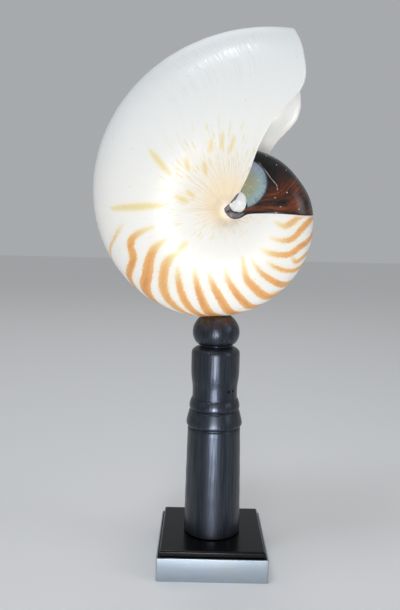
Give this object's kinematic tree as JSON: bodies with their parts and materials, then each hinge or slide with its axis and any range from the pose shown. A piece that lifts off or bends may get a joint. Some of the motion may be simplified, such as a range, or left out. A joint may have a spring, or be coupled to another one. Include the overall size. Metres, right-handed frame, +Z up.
{
  "type": "nautilus shell on turned stand",
  "caption": "Whole nautilus shell with an open body chamber, mounted on a turned black column with a square banded plinth.",
  "frame": {"origin": "centre of the plinth's underside", "axes": "+Z up along the column; -Y towards the side on which the shell's flank and mouth are seen; +X towards the shell's mouth"},
  "size_m": [0.1149, 0.0762, 0.2783],
  "materials": {
    "shell": "porcelain-like aragonite, semi-gloss, with orange-brown flame stripes and a black film in the mouth",
    "ebonised_wood": "turned hardwood stained black, satin polish, open grain along the length",
    "black_lacquer": "square wooden plinth in gloss black lacquer",
    "silver_band": "thin satin silver band"
  },
  "bodies": {
    "root": {"nautilus_shell": "shell", "turned_column": "ebonised_wood", "plinth_top": "black_lacquer", "plinth_block": "black_lacquer", "plinth_band": "silver_band"}
  },
  "joints": []
}
